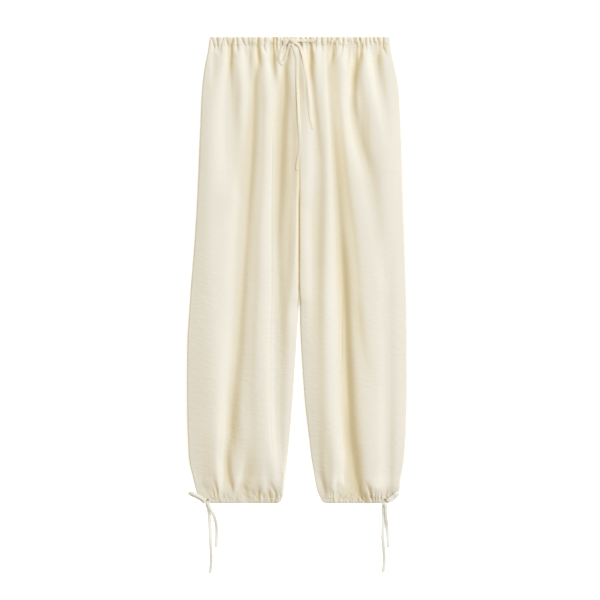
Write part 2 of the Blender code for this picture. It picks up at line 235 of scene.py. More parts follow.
# each fold is a trough, or a ridge where its depth is below 0: rows of drop, x, depth and half-width to
# the left and right
rightFolds = {
    "sideTop": ((55, -174.5, 1.4, 4.5, 4.5), (115, -174.5, 0, 4.5, 4.5)),
    "edgeTop": ((55, -185.5, -1.5, 8.5, 4.5), (115, -185.5, 0, 8.5, 4.5)),
    "hipSide": ((55, -143.5, 5.5, 5, 4.5), (103, -143, 8.1, 11.5, 10.2), (141, -142, 10, 16, 14.8),
        (176, -141, 10.8, 18.2, 17.5), (229, -139, 9.8, 18.9, 18.6), (281, -137, 6.3, 19, 18.9),
        (341, -136, 0, 19, 19)),
    "hipShelf": ((55, -131.5, 0.7, 5, 4.5), (103, -126, 2, 5, 6.5), (163, -126, 0, 5, 6.5)),
    "hipMid": ((55, -104.5, 5.6, 7, 6.5), (115, -104.5, 0, 7, 6.5)),
    "main": ((55, -83.5, 3.2, 14.5, 5), (103, -94, 6.8, 13.2, 7.7), (141, -96.5, 9.8, 12.2, 9.5),
        (176, -97.5, 10.6, 11.7, 10.5), (229, -100.5, 10.5, 11.6, 11.2), (281, -104.5, 10.5, 13.3, 11.7),
        (344, -108.5, 11.1, 16.3, 11.3), (407, -113, 11.6, 18.5, 10.8), (470, -117, 11.4, 19, 11.3),
        (533, -121, 11.2, 19, 12.4), (596, -125.5, 11.6, 18.7, 13.3), (659, -130, 12.5, 17.2, 13.8),
        (722, -137.5, 12.7, 13.8, 14.9), (785, -144.5, 13.5, 9.6, 14), (848, -150, 14.7, 6.5, 11.8),
        (890, -153, 15.2, 6.5, 10.4), (922, -151.5, 15, 6.5, 9.7), (947, -151.5, 15.3, 6.5, 10)),
    "front": ((30, -56, 5.5, 5, 5), (55, -55, 7, 5.5, 6), (80, -51, 6.5, 6.5, 7), (103, -48.5, 5, 8, 8),
        (150, -46, 2, 9, 9), (190, -45, 0, 9, 9)),
    "inner": ((30, -27, 3, 5, 5.5), (55, -28.5, 6, 6, 6), (80, -28.5, 7.6, 7.5, 7),
        (103, -29.5, 8.8, 10, 8.5), (141, -31.5, 10.4, 14.5, 10.5), (176, -35, 11, 17.1, 11.8),
        (229, -37, 10, 15.7, 11.9), (281, -40, 9.6, 14.2, 11.4), (344, -43, 9.9, 13.3, 10.8),
        (407, -45, 9.5, 13.3, 10.2), (470, -45, 7.4, 13.7, 9.9), (533, -43.5, 7, 13.9, 11.6),
        (596, -42, 9.3, 14.1, 15.3), (659, -42, 11.9, 13.5, 18), (722, -43, 12, 11.8, 18.2),
        (785, -42.5, 11.6, 10.1, 16.1), (848, -39, 10, 9.9, 12), (890, -34, 6.5, 9.8, 7.5),
        (922, -33.5, 3.1, 7.5, 6.5), (947, -35, 0.9, 6.5, 6.5)),
    "shelf": ((43, -88.5, 0, 15, 13.5), (103, -81.5, 2.7, 13.7, 11.1), (141, -76.5, 3, 12, 8.2),
        (176, -75, 2.2, 10.6, 6), (229, -75.5, 1.6, 9.7, 5.2), (281, -78, 1.5, 9, 5.9),
        (344, -83.5, 2.2, 8.3, 8.4), (407, -90.5, 3, 8, 10.3), (470, -92.5, 2.9, 8.4, 10),
        (533, -93, 2.5, 9, 8.9), (596, -96, 2.4, 9.3, 8.6), (659, -99, 2.4, 9.9, 9),
        (722, -102, 2.2, 10.9, 9.9), (785, -102, 2.4, 11.5, 10.8), (848, -100, 2.2, 10.3, 11.6),
        (890, -104.5, 3.4, 7.4, 12.3), (922, -112, 5.9, 6.5, 12.4), (947, -117.5, 7, 6.5, 11)),
    "innerShelf": ((116, -22.5, 0, 10, 7.5), (176, -22.5, -2, 9.9, 7.9), (229, -23, -2.6, 10.1, 8.8),
        (281, -22.5, -1.3, 10.6, 9.2), (344, -19.3, 1.1, 11, 8.4), (407, -21, 2.7, 11.7, 8.4),
        (470, -25, 3.8, 13.6, 10.7), (533, -30.5, 3.4, 16.5, 14), (593, -35, 0, 19, 16.5)),
    "lowShelf": ((740, -137.5, 0, 10, 15), (790, -135.5, 2, 10, 15), (848, -130, 4.6, 10, 15.5),
        (890, -124.5, 4.7, 12, 16), (922, -122.5, 4.6, 12, 16), (947, -123.5, 4.6, 11, 16)),
    "hemSide": ((820, -205, 0, 17, 15), (890, -205, 3.7, 17, 15), (922, -205, 7.5, 16, 13),
        (947, -206.5, 9.5, 15, 11)),
    "hemOuter": ((850, -179.5, 0, 11, 11), (890, -180, 1.6, 11, 11), (922, -180.5, 3.8, 11, 10),
        (947, -182, 6.5, 12, 9.5)),
    "hemMiddle": ((880, -88, 0, 14, 11), (947, -88, 3.6, 12, 10)),
    "hemInner": ((890, -61.5, 0, 8, 9), (947, -61, 2.8, 5, 7)),
    "broad": ((120, -125, 0, 40, 25), (200, -128, 2.2, 40, 25), (300, -128, 2.8, 40, 25),
        (420, -130, 2.2, 40, 25), (560, -132, 0.8, 40, 25), (700, -132, 0, 40, 25)),
}
leftFolds = {
    "centre": ((30, 3, 3, 4, 6), (55, 3.5, 4.5, 4, 6.5), (103, 4, 3.8, 4, 7), (150, 5, 1.5, 5, 8),
        (190, 5, 0, 6, 8)),
    "inner": ((30, 23.5, 5, 5, 5.5), (55, 23.5, 7.5, 5.5, 6), (103, 29.5, 4.8, 5, 5.8),
        (141, 34, 3.2, 4.5, 5.1), (176, 37.5, 3.9, 6.5, 5.9), (229, 40, 5.4, 10.9, 8.8),
        (281, 41.5, 6.5, 11, 12.6), (344, 39.5, 9.6, 15.2, 15.2), (407, 37, 10.8, 14, 15.8),
        (470, 36.5, 10.6, 12.8, 15.1), (533, 37, 8.2, 12.2, 13.8), (596, 38, 5.8, 12.6, 12.6),
        (659, 38.5, 4.2, 14.5, 12.5), (722, 38.5, 3.9, 17.1, 13.7), (785, 38.5, 5.1, 18.6, 14.8),
        (848, 39.5, 7.5, 18.9, 14.2), (890, 41.5, 10, 18.1, 12.8), (922, 43, 11.9, 16.1, 11.1),
        (947, 45.5, 13, 13, 9)),
    "innerShelf": ((55, 54.5, 4, 7, 8.5), (103, 55.5, 0.5, 7.7, 6.4), (141, 56.5, -1.1, 8.8, 6.8),
        (176, 58, -0.1, 9.8, 9.7), (229, 57.5, 1, 10.5, 12.9), (289, 56, 0, 11, 15)),
    "main": ((55, 65, 3.8, 4.5, 8), (103, 66, 3.5, 4.5, 8.2), (141, 67.5, 3.4, 4.5, 8.2),
        (176, 70.5, 4, 4.6, 8.3), (229, 74.5, 5.5, 5.9, 8.5), (281, 78, 6.8, 7.9, 8.8),
        (344, 81.5, 8.4, 10.1, 9.7), (407, 85.5, 10.4, 12.2, 10.8), (470, 89.5, 13.5, 14.7, 11.2),
        (533, 93, 14.9, 16.5, 11), (596, 96, 15.4, 16.7, 10.8), (659, 98, 14.8, 17.5, 10.8),
        (722, 101, 13.9, 18, 10.5), (785, 104, 13.4, 17.7, 10.7), (848, 108, 13.5, 15.2, 11.5),
        (890, 113, 13.5, 13.6, 11.7), (922, 116, 12.6, 13.2, 10.9), (947, 118, 9.8, 12, 10)),
    "mainShelf": ((55, 77, 1.5, 4.5, 8), (103, 80.5, 1.3, 5.6, 6), (141, 84, 1.3, 6.4, 5),
        (176, 88, 1.6, 7, 4.9), (229, 92.5, 1.9, 7.5, 5.3), (281, 97, 2.3, 8.5, 6.4),
        (344, 103, 2.7, 10, 7.6), (407, 112, 2.5, 10.9, 7.8), (470, 119.5, 2, 10.5, 7.5),
        (533, 123.5, 1.8, 9.8, 7.7), (596, 126, 3.2, 10.3, 8.5), (659, 133, 2.2, 13.1, 10.1),
        (722, 142.5, 0.6, 16.6, 12.5), (785, 146.5, -0.6, 18.6, 14.3), (848, 146, -1.2, 18.1, 14.1),
        (890, 144.5, -1.6, 14.4, 12.5), (922, 144.5, -1.2, 9.1, 12.2), (947, 151.5, -3, 6.5, 15)),
    "smallMid": ((55, 106, 5.5, 5, 6.5), (80, 108, 3.5, 6, 7), (120, 109.5, 0, 8, 8)),
    "hip": ((55, 120, 11.6, 4.3, 5.5), (103, 115.5, 9.8, 7.2, 7.6), (141, 113.5, 9.3, 8.6, 9.2),
        (176, 117.5, 9.3, 10.7, 11.7), (229, 129, 8.5, 12.3, 12.5), (281, 144.5, 5.9, 14.1, 13.8),
        (344, 156, 3.8, 13.4, 14.2), (407, 166.5, 2.4, 11.7, 13), (470, 174.5, 1.7, 12.4, 10.7),
        (530, 180.5, 0, 10, 8.5)),
    "side": ((55, 161.5, 10.4, 7.5, 10.5), (103, 170, 6.3, 9.4, 11), (141, 177.5, 3.9, 9.1, 10.3),
        (176, 183.5, 1.9, 7.4, 9.2), (236, 189.5, 0, 6, 8.5)),
    "hipShelf": ((43, 129.5, 0, 4.5, 4.5), (103, 132, 1.2, 4.5, 5.2), (141, 134.5, 2.1, 5, 7.2),
        (176, 137.5, 1.9, 5.4, 9), (236, 141, 0, 5.5, 10)),
    "outer": ((410, 192.5, 0, 12, 11), (470, 190.5, 1.9, 12, 11), (533, 188.5, 3, 13, 11),
        (596, 188, 3.4, 13.5, 12), (659, 189, 4, 13, 12.5), (722, 189.5, 4.3, 12, 12.5),
        (785, 189.5, 5.2, 11.5, 12), (848, 189.5, 5.8, 11.5, 11), (890, 190, 5.8, 11.5, 10),
        (922, 190.5, 5.5, 11, 9), (947, 191.5, 5, 9, 8)),
    "lowInner": ((788, 57, 0, 8, 6.5), (848, 61.5, 0.8, 7.4, 6.5), (890, 65, 1.5, 6.6, 6.5),
        (922, 66.5, 2.1, 6.5, 6.5), (947, 64.5, 2.8, 6.5, 6.5)),
    "lowMid": ((770, 95.5, 0, 7, 8), (810, 97, 2.5, 7, 8), (848, 98.5, 4.5, 6.5, 8), (890, 100.5, 5, 6, 8),
        (922, 100.5, 6.9, 5.5, 7), (947, 103.5, 7.5, 6, 6.5)),
    "hemMid": ((890, 88.5, 0, 6, 10), (922, 86.5, 3, 5, 9), (947, 85, 7, 5, 8)),
    "hemFar": ((900, 164.5, 0, 12, 10), (947, 164.5, -2.5, 10, 8)),
}
folds = {"right": rightFolds, "left": leftFolds}
# rows of drop, crest height, and how far in from the low and high edges the cloth still slopes
crests = {
    "right": ((55, 11.5, 75.5, 5), (103, 13.6, 53, 5), (141, 14.9, 44, 5), (176, 15.4, 40, 5),
        (229, 15, 37, 5), (281, 14.6, 35, 5), (344, 14.5, 35, 5.4), (407, 14.5, 38, 7.1),
        (470, 14.6, 43, 11.5), (533, 15.3, 50, 19.9), (596, 17.1, 60, 29.5), (659, 19.1, 72.5, 34.5),
        (722, 19.9, 74.5, 37.5), (785, 20, 74, 39), (848, 20, 72.5, 31), (890, 18.3, 62.5, 16.4),
        (922, 16.5, 42.5, 6)),
    "left": ((55, 14.6, 33, 62), (103, 17.2, 33.5, 60), (141, 18.8, 34, 56), (176, 19.6, 36.5, 53),
        (229, 19.9, 43.5, 50), (281, 19.2, 54.5, 50), (344, 18.1, 61, 54), (407, 18.2, 56, 58),
        (470, 19.3, 54, 60), (533, 19.9, 59.5, 62), (596, 20, 63.5, 62), (659, 20, 62.5, 62),
        (722, 20, 59, 62), (785, 19.9, 50, 62), (848, 19.5, 36.5, 62), (890, 18.3, 27, 62),
        (922, 16.5, 24, 62)),
}
# gathers at each casing, left to right: x at the casing's edge, at its seam and at the far end, then reach
# and depth
gathers = {
    ("right", "waist"): ((-181.5, -174.5, -172.5, 13, 2.4), (-170.5, -166.5, -164.5, 17, 2.6),
        (-153.5, -160.5, -162.5, 21, 1.6), (-150.5, -145, -143.5, 10, 2), (-133.5, -139.5, -141.5, 50, 4.5),
        (-127.5, -125.5, -123.5, 17, 2.4), (-117.5, -110.5, -104.5, 29, 2.4),
        (-104.5, -101.5, -99.5, 42, 1.6), (-95.5, -97, -96.5, 10, 1.2), (-82.5, -84, -76.5, 55, 4),
        (-68.5, -70, -63.5, 21, 2.6), (-52.5, -57.5, -56.5, 17, 2.6), (-49.5, -50.5, -48.5, 55, 3.4),
        (-44.5, -44, -41.5, 21, 2.6), (-35.5, -36.5, -35.5, 13, 1.2), (-28.5, -30.5, -32.5, 17, 1.5),
        (-13.5, -18.8, -20.5, 46, 3)),
    ("left", "waist"): ((4.5, 8.3, 8.5, 17, 2.5), (16.5, 18.8, 19.5, 25, 2), (25.5, 27.5, 31.5, 55, 4),
        (39.5, 39, 39.5, 13, 1.2), (50.5, 51.5, 52.5, 15, 2.6), (62.5, 62, 63.5, 13, 2),
        (69.5, 68.5, 67.5, 17, 1.5), (84.5, 74.5, 68.5, 50, 3.8), (95.5, 95, 89.5, 25, 2.6),
        (104.5, 108, 109.5, 38, 2.6), (110.5, 112.5, 113.5, 10, 1.6), (116.5, 121, 121.5, 13, 1.6),
        (129.5, 133.5, 127.5, 55, 4.6), (138.5, 137, 135.5, 13, 2), (142.5, 144, 144.5, 19, 2.4),
        (150.5, 154, 155.5, 15, 2.4), (158.5, 161.5, 170.5, 42, 3.2), (167.5, 172, 173.5, 15, 2),
        (180.5, 180, 188.5, 23, 2.8)),
    ("right", "hem"): ((-203.5, -205.5, -206.5, 17, 1.2), (-186.5, -191, -197.5, 29, 1.6),
        (-172.5, -175.5, -176.5, 17, 2.2), (-164.5, -167.5, -174.5, 40, 3.8),
        (-154.5, -154, -153.5, 13, 3.2), (-148.5, -148, -146.5, 10, 2.4), (-139.5, -138, -139.5, 42, 4.6),
        (-128.5, -129, -128.5, 10, 2.4), (-122.5, -123, -121.5, 17, 2), (-116.5, -115.5, -113.5, 13, 1.4),
        (-104.5, -108.5, -111.5, 21, 2.8), (-92.5, -93.5, -94.5, 15, 1.6), (-79.5, -81.5, -78.5, 19, 2.6),
        (-70.5, -70.5, -69.5, 10, 1.2), (-55.5, -58.5, -61.5, 15, 1.6), (-48.5, -44.5, -57.5, 30, 2.4)),
    ("left", "hem"): ((60.5, 55, 51.5, 46, 5.2), (69.5, 69.5, 69.5, 17, 1.4), (75.5, 75, 73.5, 15, 2.6),
        (83.5, 83, 83.5, 10, 2.2), (91.5, 94.5, 93.5, 25, 3.6), (102.5, 102, 100.5, 10, 2.4),
        (113.5, 109.5, 108.5, 46, 4.2), (121.5, 122, 121.5, 25, 1.8), (144.5, 131, 127.5, 44, 3.6),
        (137.5, 135.5, 134.5, 10, 1.4), (159.5, 154, 142.5, 34, 3.4), (163.5, 163.5, 162.5, 17, 2.4),
        (168.5, 168.5, 169.5, 13, 1.8), (176.5, 175.5, 174.5, 13, 1.4), (184.5, 186, 191.5, 21, 2)),
}
gatherForm = {
    "halfWidth": 1.2, "spread": 0.09, "limit": 12, "scallop": 0.32, "depthScale": 1.5, "reachScale": 1.25,
    "innerFade": 3, "puffRise": 0.75, "puffCell": (4.2, 6.0), "puffFade": 4,
}
# fine gathers between them: width and length, sideways drift, size and how much it varies
fineGathers = {
    "cell": (3.3, 22), "drift": 3.5, "driftCell": (19, 9), "size": 0.9, "variation": 0.7,
    "variationCell": (13, 40), "depth": {"waist": 1.1, "hem": 1.9}, "reach": {"waist": 22, "hem": 12},
}
# thin lines pressed into the cloth, rows of drop and x, and the pocket bags that show through as a faint edge
creaseLines = {
    "right": ((196, -51), (343, -53.5), (553, -53.5), (595, -56), (763, -56), (826, -55), (889, -49)),
    "left": ((520, 94), (600, 94), (700, 94)),
}
creaseForm = {"depth": 1.1, "halfWidth": 1.3, "fade": 40}
pocketBags = {"right": (-205, -137), "left": (147, 221)}
pocketForm = {"top": 60, "topFade": 60, "bottom": 290, "rise": 0.3, "edge": 7}


def pressedLines(leg, x, drop):
    # relief of the crease line and of the pocket bag under the cloth
    drops, centres = columnsOf(creaseLines[leg])
    form = creaseForm
    fade = ease((drop - drops[0]) / form["fade"]) * ease((drops[-1] - drop) / form["fade"])
    away = (x - np.interp(drop, drops, centres)) / form["halfWidth"]
    groove = form["depth"] * fade * np.exp(-(away ** 2))
    low, high = pocketBags[leg]
    form, edge = pocketForm, pocketForm["edge"]
    bag = ease((x - low) / edge) * ease((high - x) / edge) * ease((form["bottom"] - drop) / edge)
    return form["rise"] * bag * ease((drop - form["top"]) / form["topFade"]) - groove


def gatherRelief(leg, end, x, distance):
    # depth of the gathers at a distance from the casing seam, which is below 0 inside the casing
    form = gatherForm
    inside = np.clip(-distance / frontForm[end + "Casing"], 0, 1)
    relief = np.zeros_like(x)
    for edgeX, seamX, endX, reach, depth in gathers[leg, end]:
        reach = reach * form["reachScale"]
        away = np.clip(distance / reach, 0, 1)
        centre = seamX + (edgeX - seamX) * inside + (endX - seamX) * ease(away)
        halfWidth = form["halfWidth"] + form["spread"] * reach * away
        side = np.clip((x - centre) / halfWidth, -form["limit"], form["limit"])
        relief = relief + form["depthScale"] * depth * (1 - ease(away)) / np.cosh(side)
    return relief


def partedShare(drop):
    # 0 where the legs are joined, most of the way to 1 where they touch, and 1 where they stand apart
    touching, apart = (ease((drop - crotchForm[step][0]) / crotchForm[step][1]) for step in ("touch", "part"))
    return (1 - crotchForm["touchingLift"]) * touching + crotchForm["touchingLift"] * apart


def heldBy(end, distance):
    # how much of a long fold is left at a distance from the casing seam
    share, start, run = casingHold[end]
    return 1 - share * ease((start - distance) / run)


def inwards(leg, x, drop):
    # distance from the leg's inner edge
    return edgeAt(leg, "high", drop) - x if leg == "right" else x - edgeAt(leg, "low", drop)


def fromSeams(drop):
    return drop - frontForm["waistCasing"], length - frontForm["hemCasing"] - drop


def foldedHeight(leg, x, drop):
    # the crest of the leg less its folds and gathers
    form = frontForm
    fromWaist, fromHem = fromSeams(drop)
    drops, heights, _, _ = columnsOf(crests[leg])
    drops, heights = np.append(form["waistCasing"], drops), np.append(form["waistSeamHeight"], heights)
    crest = smoothRead(drops, heights, np.clip(drop, drops[0], drops[-1]))
    fall = np.sin(np.pi / 2 * np.clip(fromHem / form["hemFall"], 0, 1))
    crest = form["hemSeamHeight"] + (crest - form["hemSeamHeight"]) * fall
    crest = crest - form["hemEndDrop"] * np.clip(-fromHem / form["hemCasing"], 0, 1)
    trough = np.zeros_like(x)
    for rows in folds[leg].values():
        drops, centres, depths, lefts, rights = columnsOf(rows)
        at = np.clip(drop, drops[0], drops[-1])
        away = x - smoothRead(drops, centres, at)
        width = np.where(away < 0, smoothRead(drops, lefts, at), smoothRead(drops, rights, at))
        trough = trough + smoothRead(drops, depths, at) / np.cosh(np.abs(away / width) ** form["foldBend"])
    trough = trough * heldBy("waist", fromWaist) * heldBy("hem", fromHem)
    pleats = gatherRelief(leg, "waist", x, fromWaist) + gatherRelief(leg, "hem", x, fromHem)
    height = crest - trough - pleats * ease(inwards(leg, x, drop) / gatherForm["innerFade"])
    bend = form["lowestBend"]
    return form["lowest"] + bend * np.logaddexp(0, (height - form["lowest"]) / bend)


# heights of both legs along their inner edges, so that they meet level at the centre seam
jointDrops = np.arange(0, length + 2, 2.0)
innerHeights = {leg: foldedHeight(leg, edgeAt(leg, side, jointDrops), jointDrops)
                for leg, side in (("right", "high"), ("left", "low"))}
jointStep = innerHeights["left"] - innerHeights["right"]
jointHeights = innerHeights["right"] + jointStep * frontForm["jointShare"]


def frontSurface(leg, x, drop):
    # height of the upper face in mm
    x, drop = np.broadcast_arrays(np.asarray(x, float), np.asarray(drop, float))
    form = frontForm
    fromWaist, fromHem = fromSeams(drop)
    lowSide, highSide = x - edgeAt(leg, "low", drop), edgeAt(leg, "high", drop) - x
    innerSide = inwards(leg, x, drop)
    drops, _, lowSlopes, highSlopes = columnsOf(crests[leg])
    parted = partedShare(drop)
    shoulders = 1
    for side, distance, slopes in (("low", lowSide, lowSlopes), ("high", highSide, highSlopes)):
        width = np.interp(drop, drops, slopes)
        radius, rollShare = edgeRolls[leg, side]
        slope = np.sin(np.pi / 2 * np.clip(distance / width, 0, 1))
        slope = rollShare * quarterRound(distance, radius) + (1 - rollShare) * slope
        joined = (1 - parted) if (side == "high") == (leg == "right") else 0
        shoulders = shoulders * (joined + (1 - joined) * slope)
    height = foldedHeight(leg, x, drop)
    step = np.interp(drop, jointDrops, jointHeights - innerHeights[leg])
    height = height + step * (1 - parted) * np.exp(-((innerSide / form["jointBlend"]) ** 2))
    nearCrotch = ease((drop - crotchForm["seam"][0]) / crotchForm["seam"][1])
    seamDip = (form["seamDepth"] + crotchForm["seamSink"] * nearCrotch) * (1 - parted)
    height = height - seamDip * np.exp(-((innerSide / (form["seamWidth"] + nearCrotch)) ** 2))
    inCasings = ease(-fromWaist / gatherForm["puffFade"]) + ease(-fromHem / gatherForm["puffFade"])
    height = height + gatherForm["puffRise"] * cellNoise(x, drop, gatherForm["puffCell"], 91) * inCasings
    drifted = x + fineGathers["drift"] * cellNoise(x, drop, fineGathers["driftCell"], 93)
    fine = np.clip(-cellNoise(drifted, drop, fineGathers["cell"], 92), 0, 1)
    variation = fineGathers["variation"] * cellNoise(x, drop, fineGathers["variationCell"], 94)
    fine = fine * (fineGathers["size"] + variation)
    for end, distance in (("waist", fromWaist), ("hem", fromHem)):
        near = 1 - ease(distance / fineGathers["reach"][end])
        height = height - fineGathers["depth"][end] * fine * near
        fromStitches = (distance + form["stitchInset"]) / form["stitchWidth"]
        height = height - form["stitchGroove"] * np.exp(-(fromStitches ** 2))
    height = height + pressedLines(leg, x, drop)
    ends = quarterRound(drop, form["casingRound"]) * quarterRound(length - drop, form["casingRound"])
    return form["edgeHeight"] + (height - form["edgeHeight"]) * np.clip(shoulders, 0, 1) * ends


# painted shade on the cloth's colour: what a fold on the far side gives back, how open edges see the bright
# floor, and the shade painted along the centre seam and hem seam, each with its width
shadeForm = {
    "farSide": 0.3, "open": 0.1, "openReach": 45, "openFrom": 560, "softening": (1, 4, 8, 10, 8, 4, 1),
    "seam": 0.5, "seamWidth": 3, "seamStart": (90, 40), "seamStop": (575, 20),
    "hemSeam": 0.1, "hemSeamWidth": 9,
}
# painted bounce light: cloth behind a fold painted warmer than its shade alone: rows of drop, x, share and
# half-width
paintedWarmStrips = {
    "right": ((200, -17, 0, 8), (260, -17, 0.1, 8), (420, -20, 0.1, 8), (520, -22, 0, 8)),
    "left": ((50, 70, 0, 7), (91, 73, 0.24, 8), (196, 83.5, 0.3, 9), (266, 90, 0.28, 10),
        (371, 104, 0.15, 11), (511, 118, 0.12, 12), (686, 136, 0.1, 12), (850, 140, 0, 12)),
}


def shadeFromKey(leg, x, drop, height):
    # how far the cloth to the right stands in the way of the key light, in radians above level, for each
    # point of a grid: behind a fold the cloth gets mostly light that has passed off other warm cloth
    form = shadeForm
    shade = np.zeros_like(height)
    softening = np.array(form["softening"]) / sum(form["softening"])
    for row in range(len(height)):
        apart = x[row][None, :] - x[row][:, None]
        angle = np.arctan2(height[row][None, :] - height[row][:, None], np.abs(apart) + 1e-9)
        right = np.where(apart > 0, angle, 0).max(axis=1)
        left = np.where(apart < 0, angle, 0).max(axis=1)
        behind = np.clip(right - form["farSide"] * left, 0, 1)
        shade[row] = np.convolve(np.pad(behind, len(softening) // 2, "edge"), softening, "valid")
    fromLow = x - edgeAt(leg, "low", drop)
    free = (fromLow > -1) & ((leg == "right") | (drop > form["openFrom"]))
    shade = shade * np.where(free, form["open"] + (1 - form["open"]) * ease(fromLow / form["openReach"]), 1)
    drops, centres, shares, widths = columnsOf(paintedWarmStrips[leg])
    away = (x - np.interp(drop, drops, centres)) / np.interp(drop, drops, widths)
    seam = form["seam"] * np.exp(-((inwards(leg, x, drop) / form["seamWidth"]) ** 2))
    (start, startRun), (stop, stopRun) = form["seamStart"], form["seamStop"]
    seam = seam * ease((drop - start) / startRun) * ease((stop - drop) / stopRun)
    hemSeam = form["hemSeam"] * np.exp(-((fromSeams(drop)[1] / form["hemSeamWidth"]) ** 2))
    # painted shade: key shade, warm strips, centre seam and hem seam, summed into the shade painted on the
    # colour
    return shade + np.interp(drop, drops, shares) / np.cosh(away) + seam + hemSeam


# crinkle of the crepe: low wavy ridges across the leg, stronger below the knee, with smaller ones between
crinkle = {
    "pitch": 4.4, "run": 11.0, "wander": 3.2, "wanderCell": (31, 47), "ripple": 1.4, "rippleCell": (8, 23),
    "small": 0.6, "smallRun": 6, "smallPitch": 0.8, "evenness": 0.75, "patches": 0.5, "patchCell": (26, 60),
    "heightAbove": 0.08, "heightBelow": 0.18, "changeAt": 500, "changeOver": 240,
    "swell": 0.5, "swellCell": (60, 170),
}


def crinkleRelief(x, drop, seed):
    form = crinkle
    wander = form["wander"] * cellNoise(x, drop, form["wanderCell"], seed)
    wander = wander + form["ripple"] * cellNoise(x, drop, form["rippleCell"], seed + 1)
    half = form["pitch"] / 2
    fine = softNoise(x / form["run"], (drop + wander) / half, seed + 2)
    small = softNoise(x / form["smallRun"], (drop + wander) / (half * form["smallPitch"]), seed + 3)
    fine = fine + form["small"] * small
    fine = fine * (form["evenness"] + form["patches"] * cellNoise(x, drop, form["patchCell"], seed + 5))
    below = ease((drop - form["changeAt"]) / form["changeOver"] + 0.5)
    size = form["heightAbove"] + (form["heightBelow"] - form["heightAbove"]) * below
    return size * fine + form["swell"] * cellNoise(x, drop, form["swellCell"], seed + 4)


# mesh building

sharpAngle = 62     # in degrees, keeps the thin rims of the cloth crisp


def makePiece(name, points, faces, shade, smooth=True):
    mesh = bpy.data.meshes.new(name)
    mesh.from_pydata((np.asarray(points) * mm).tolist(), [], faces)
    # painted shade: the shade attribute tells the material where to paint the warmer, darker shade colour
    attribute = mesh.attributes.new("shade", "FLOAT", "POINT")
    attribute.data.foreach_set("value", np.asarray(shade, np.float32))
    if smooth:
        mesh.shade_smooth()
        mesh.set_sharp_from_angle(angle=math.radians(sharpAngle))
    obj = bpy.data.objects.new(name, mesh)
    bpy.context.collection.objects.link(obj)
    return obj


def gridQuads(index):
    corners = (index[:-1, :-1], index[1:, :-1], index[1:, 1:], index[:-1, 1:])
    return np.stack(corners, axis=-1).reshape(-1, 4)


def closedSheet(name, x, drop, top, under, shade):
    # a thin closed shell: a fine upper face, and an under face with one row and column in every "share"
    share = grids["share"]
    rows, columns = top.shape
    y = length / 2 - drop
    upper = np.stack((x, y, top), axis=-1).reshape(-1, 3)
    keepRows, keepColumns = np.arange(0, rows, share), np.arange(0, columns, share)
    pick = np.ix_(keepRows, keepColumns)
    lower = np.stack((x[pick], y[pick], under[pick]), axis=-1).reshape(-1, 3)
    index = np.arange(rows * columns).reshape(rows, columns)
    lowIndex = len(upper) + np.arange(len(lower)).reshape(len(keepRows), len(keepColumns))
    faces = gridQuads(index).tolist() + gridQuads(lowIndex)[:, [0, 3, 2, 1]].tolist()
    rims = (
        (index[:, 0], lowIndex[:, 0]), (index[-1, :], lowIndex[-1, :]),
        (index[::-1, -1], lowIndex[::-1, -1]), (index[0, ::-1], lowIndex[0, ::-1]),
    )
    for fine, coarse in rims:
        for j in range(len(coarse) - 1):
            a, b = int(coarse[j]), int(coarse[j + 1])
            run = [int(i) for i in fine[j * share:(j + 1) * share + 1]]
            half = share // 2
            faces += [(run[i + 1], run[i], a) for i in range(half)]
            faces.append((run[half], a, b))
            faces += [(run[i + 1], run[i], b) for i in range(half, share)]
    allShade = np.concatenate((shade.reshape(-1), shade[pick].reshape(-1)))
    return makePiece(name, np.concatenate((upper, lower)), faces, allShade)


# drops of the casing seams, rows and columns of each piece, and how much the columns crowd at the edges
waistSeam, hemSeam = 20, 965
grids = {
    "panelStops": (waistSeam, 72, 400, hemSeam), "panelCounts": (32, 140, 368), "panelColumns": 168,
    "waistCounts": (24,), "hemCounts": (20,), "backCounts": (160,), "backColumns": 40, "share": 4,
    "crowding": 0.3,
}


def sheetGrid(leg, stops, counts, columns):
    # x and drop of each point, with a stated number of rows between each pair of stops
    parts = [np.linspace(a, b, n, endpoint=False) for a, b, n in zip(stops, stops[1:], counts)]
    drop = np.concatenate(parts + [[stops[-1]]])[:, None]
    s = np.linspace(0, 1, columns + 1)[None, :]
    share = s - grids["crowding"] * np.sin(2 * np.pi * s) / (2 * np.pi)
    low, high = edgeAt(leg, "low", drop), edgeAt(leg, "high", drop)
    return low + (high - low) * share, np.broadcast_to(drop, (len(drop), columns + 1))


def dress(obj, node, material):
    # sewing that the CAD doesn't have replaces no node
    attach(obj, "root")
    if node:
        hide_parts(node)
    obj.data.materials.append(material)
    return obj


# materials

# the second, warmer colour, with its strength and range, is painted shade, mixed in where the shade attribute
# is high
crepe = {
    "colour": "#E5E0D2", "paintedShadeColour": "#E7D8B1", "paintedShadeStrength": 1.0, "paintedShadeRange": (0.02, 0.62),
    "roughness": 0.9, "specular": 0.2, "sheen": 0.15, "sheenRoughness": 0.5,
    "crinklePitchMm": 3.0, "crinkleRunMm": 9.0, "crinkleNoise": (1, 2, 0.5, 0.6), "crinkleBump": 0.00030,
    "threadMm": 1.1, "threadNoise": (1, 1, 0.5, 0), "threadBump": 0.00006,
    "threadTone": (0.35, 0.65, 0.975, 1), "cloudNoise": (9, 3, 0.55, 0), "cloudTone": (0.3, 0.7, 0.975, 1),
    "hemShadeMm": (10, 38), "hemShadeTone": 0.925,
}


def addRange(tree, value, start, stop, low, high):
    inputs = {"Value": value, "From Min": start, "From Max": stop, "To Min": low, "To Max": high}
    return addNode(tree, "ShaderNodeMapRange", inputs).outputs["Result"]


def addNoise(tree, vector, values):
    inputs = {"Vector": vector, **dict(zip(("Scale", "Detail", "Roughness", "Distortion"), values))}
    return addNode(tree, "ShaderNodeTexNoise", inputs).outputs["Fac"]


def addMapping(tree, vector, runMm, pitchMm):
    # one unit of the pattern is so many mm along x and z, and so many along y
    inputs = {"Vector": vector, "Scale": (1000 / runMm, 1000 / pitchMm, 1000 / runMm)}
    return addNode(tree, "ShaderNodeMapping", inputs).outputs["Vector"]


